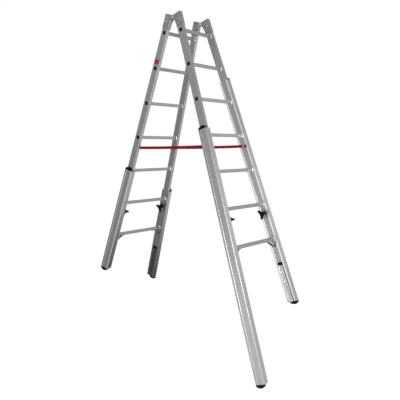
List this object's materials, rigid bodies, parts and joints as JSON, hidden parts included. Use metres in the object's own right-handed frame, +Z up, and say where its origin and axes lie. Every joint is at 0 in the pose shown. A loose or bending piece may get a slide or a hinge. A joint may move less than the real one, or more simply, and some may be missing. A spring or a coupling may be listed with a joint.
{
  "type": "trestle ladder",
  "caption": "Folding aluminium trestle ladder of two rung sections hinged at the top, with four leg sleeves that slide out separately and are clamped by star knobs for stairs.",
  "frame": {"origin": "middle of the part's box in X and Y, on the level of the lowest foot", "axes": "+Z up; X from the short-legged section to the long-legged one, across the fold; Y along the hinge axis and the rungs"},
  "size_m": [1.704, 0.693, 2.636],
  "materials": {
    "stile_aluminium": "mill-finish extrusion, matt",
    "rung_aluminium": "ribbed mill-finish extrusion",
    "sleeve_aluminium": "mill-finish extrusion with drawn lines",
    "hinge_plate_grey": "grey plated sheet steel",
    "bright_steel": "bright zinc",
    "black_plastic": "moulded, fine grain",
    "foot_rubber": "matt moulded rubber",
    "red_webbing": "woven polyester webbing"
  },
  "bodies": {
    "short_section": {"short_left_stile": "stile_aluminium", "short_right_stile": "stile_aluminium", "short_rung_1": "rung_aluminium", "short_rung_2": "rung_aluminium", "short_rung_3": "rung_aluminium", "short_rung_4": "rung_aluminium", "short_rung_5": "rung_aluminium", "short_rung_6": "rung_aluminium", "short_rung_7": "rung_aluminium", "short_rung_plugs": "black_plastic", "short_stile_caps": "black_plastic", "short_rivets": "bright_steel", "short_braces": "rung_aluminium", "short_left_hinge_plates": "hinge_plate_grey", "short_right_hinge_plates": "hinge_plate_grey", "hinge_bolts": "bright_steel", "hinge_nuts": "bright_steel", "hinge_spacers": "rung_aluminium", "left_strap": "red_webbing", "right_strap": "red_webbing"},
    "long_section": {"long_left_stile": "stile_aluminium", "long_right_stile": "stile_aluminium", "long_rung_1": "rung_aluminium", "long_rung_2": "rung_aluminium", "long_rung_3": "rung_aluminium", "long_rung_4": "rung_aluminium", "long_rung_5": "rung_aluminium", "long_rung_6": "rung_aluminium", "long_rung_7": "rung_aluminium", "long_rung_plugs": "black_plastic", "long_stile_caps": "black_plastic", "long_rivets": "bright_steel", "long_braces": "rung_aluminium", "long_left_hinge_plates": "hinge_plate_grey", "long_right_hinge_plates": "hinge_plate_grey"},
    "short_left_leg": {"short_left_sleeve": "sleeve_aluminium", "short_left_sleeve_plug": "black_plastic", "short_left_foot": "foot_rubber"},
    "short_left_clamp": {"short_left_knob": "black_plastic", "short_left_stud": "bright_steel"},
    "short_left_nut": {"short_left_slot_nut": "bright_steel"},
    "short_right_leg": {"short_right_sleeve": "sleeve_aluminium", "short_right_sleeve_plug": "black_plastic", "short_right_foot": "foot_rubber"},
    "short_right_clamp": {"short_right_knob": "black_plastic", "short_right_stud": "bright_steel"},
    "short_right_nut": {"short_right_slot_nut": "bright_steel"},
    "long_left_leg": {"long_left_sleeve": "sleeve_aluminium", "long_left_sleeve_plug": "black_plastic", "long_left_foot": "foot_rubber"},
    "long_left_clamp": {"long_left_knob": "black_plastic", "long_left_stud": "bright_steel"},
    "long_left_nut": {"long_left_slot_nut": "bright_steel"},
    "long_right_leg": {"long_right_sleeve": "sleeve_aluminium", "long_right_sleeve_plug": "black_plastic", "long_right_foot": "foot_rubber"},
    "long_right_clamp": {"long_right_knob": "black_plastic", "long_right_stud": "bright_steel"},
    "long_right_nut": {"long_right_slot_nut": "bright_steel"}
  },
  "joints": [
    {"name": "fold", "type": "hinge", "parent": "short_section", "child": "long_section", "pos_m": [-0.06424, 0.01215, 2.59871], "axis": [0, 1, 0], "range_deg": [0, 35.6], "deforming": ["left_strap", "right_strap"]},
    {"name": "short_left_slide", "type": "slide", "parent": "short_section", "child": "short_left_leg", "axis": [-0.3052, -0.0583, -0.9505], "range_m": [-0.076, 0.31]},
    {"name": "short_left_knob_turn", "type": "hinge", "parent": "short_section", "child": "short_left_clamp", "pos_m": [-0.60016, -0.22287, 1.08655], "axis": [-0.0178, 0.9983, -0.0555], "range_deg": [0, 360]},
    {"name": "short_left_nut_travel", "type": "slide", "parent": "short_section", "child": "short_left_nut", "axis": [0.0178, -0.9983, 0.0555], "range_m": [0, 0.00125]},
    {"name": "short_right_slide", "type": "slide", "parent": "short_section", "child": "short_right_leg", "axis": [-0.3052, 0.0583, -0.9505], "range_m": [-0.281, 0.105]},
    {"name": "short_right_knob_turn", "type": "hinge", "parent": "short_section", "child": "short_right_clamp", "pos_m": [-0.60016, 0.24717, 1.08655], "axis": [-0.0178, -0.9983, -0.0555], "range_deg": [0, 360]},
    {"name": "short_right_nut_travel", "type": "slide", "parent": "short_section", "child": "short_right_nut", "axis": [0.0178, 0.9983, 0.0555], "range_m": [0, 0.00125]},
    {"name": "long_left_slide", "type": "slide", "parent": "long_section", "child": "long_left_leg", "axis": [0.3052, -0.0583, -0.9505], "range_m": [-0.702, 0.63]},
    {"name": "long_left_knob_turn", "type": "hinge", "parent": "long_section", "child": "long_left_clamp", "pos_m": [0.47168, -0.22287, 1.08655], "axis": [0.0178, 0.9983, -0.0555], "range_deg": [0, 360]},
    {"name": "long_left_nut_travel", "type": "slide", "parent": "long_section", "child": "long_left_nut", "axis": [-0.0178, -0.9983, 0.0555], "range_m": [0, 0.00125]},
    {"name": "long_right_slide", "type": "slide", "parent": "long_section", "child": "long_right_leg", "axis": [0.3052, 0.0583, -0.9505], "range_m": [-0.285, 1.047]},
    {"name": "long_right_knob_turn", "type": "hinge", "parent": "long_section", "child": "long_right_clamp", "pos_m": [0.47168, 0.24717, 1.08655], "axis": [0.0178, -0.9983, -0.0555], "range_deg": [0, 360]},
    {"name": "long_right_nut_travel", "type": "slide", "parent": "long_section", "child": "long_right_nut", "axis": [-0.0178, 0.9983, 0.0555], "range_m": [0, 0.00125]}
  ],
  "couplings": [
    {"joint": "short_left_nut_travel", "follows": "short_left_knob_turn", "m_per_rad": 0.00019894},
    {"joint": "short_right_nut_travel", "follows": "short_right_knob_turn", "m_per_rad": 0.00019894},
    {"joint": "long_left_nut_travel", "follows": "long_left_knob_turn", "m_per_rad": 0.00019894},
    {"joint": "long_right_nut_travel", "follows": "long_right_knob_turn", "m_per_rad": 0.00019894}
  ]
}
